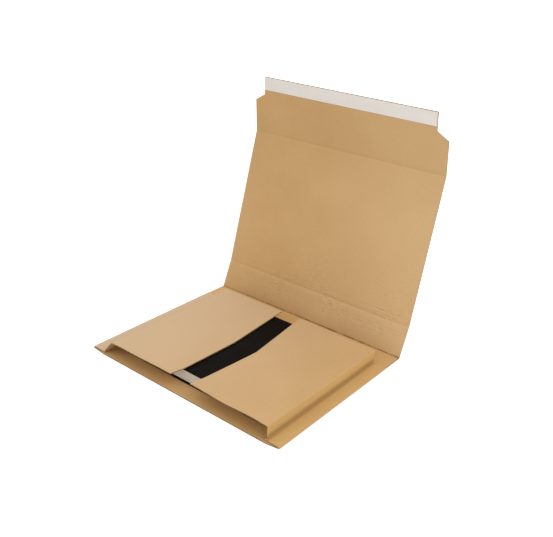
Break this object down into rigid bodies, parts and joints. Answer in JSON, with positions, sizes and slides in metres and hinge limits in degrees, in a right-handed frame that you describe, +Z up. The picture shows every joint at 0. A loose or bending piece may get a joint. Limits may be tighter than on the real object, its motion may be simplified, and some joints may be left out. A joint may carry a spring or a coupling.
{
  "type": "book wrap mailer",
  "caption": "Open corrugated book wrap with crash edges, two side flaps over a book, a creased lid and a peel-and-seal lip",
  "frame": {"origin": "middle of the base's underside, on the surface that the mailer lies on", "axes": "+Z up, +Y from the open front to the lid's crease, +X to the right along the creases"},
  "size_m": [0.375, 0.3826, 0.3747],
  "materials": {
    "kraft_board": "matt brown kraft liner",
    "adhesive": "tacky hot-melt",
    "liner_paper": "smooth silicone-coated",
    "book_cover": "black, satin",
    "book_paper": "cut page edges"
  },
  "bodies": {
    "base": {"base": "kraft_board", "book_case": "book_cover", "book_pages": "book_paper"},
    "left_wall": {"left_wall": "kraft_board"},
    "left_flap": {"left_flap": "kraft_board"},
    "right_wall": {"right_wall": "kraft_board"},
    "right_flap": {"right_flap": "kraft_board"},
    "spine": {"spine": "kraft_board"},
    "lid": {"lid": "kraft_board"},
    "seal_flap": {"seal_flap": "kraft_board", "adhesive_strip": "adhesive", "release_liner": "liner_paper"}
  },
  "joints": [
    {"name": "spine_hinge", "type": "hinge", "parent": "base", "child": "spine", "pos_m": [0, 0.1477, 0.0008], "axis": [1, 0, 0], "range_deg": [-66.6, 79.8]},
    {"name": "lid_hinge", "type": "hinge", "parent": "spine", "child": "lid", "pos_m": [0, 0.16791, 0.04762], "axis": [1, 0, 0], "range_deg": [-8.1, 23.4]},
    {"name": "seal_flap_hinge", "type": "hinge", "parent": "lid", "child": "seal_flap", "pos_m": [0, 0.23058, 0.27826], "axis": [1, 0, 0], "range_deg": [-19.5, 10.5]},
    {"name": "left_wall_hinge", "type": "hinge", "parent": "base", "child": "left_wall", "pos_m": [-0.1611, 0, 0.00435], "axis": [0, 1, 0], "range_deg": [-131, 0]},
    {"name": "left_flap_hinge", "type": "hinge", "parent": "left_wall", "child": "left_flap", "pos_m": [-0.14332, 0, 0.0248], "axis": [0, 1, 0], "range_deg": [-49, 0]},
    {"name": "right_wall_hinge", "type": "hinge", "parent": "base", "child": "right_wall", "pos_m": [0.165, 0, 0.00435], "axis": [0, -1, 0], "range_deg": [-86, 0]},
    {"name": "right_flap_hinge", "type": "hinge", "parent": "right_wall", "child": "right_flap", "pos_m": [0.16643, 0, 0.0248], "axis": [0, -1, 0], "range_deg": [-94, 0]}
  ],
  "couplings": [
    {"joint": "left_flap_hinge", "follows": "left_wall_hinge", "ratio": 0.37405},
    {"joint": "right_flap_hinge", "follows": "right_wall_hinge", "ratio": 1.093}
  ]
}
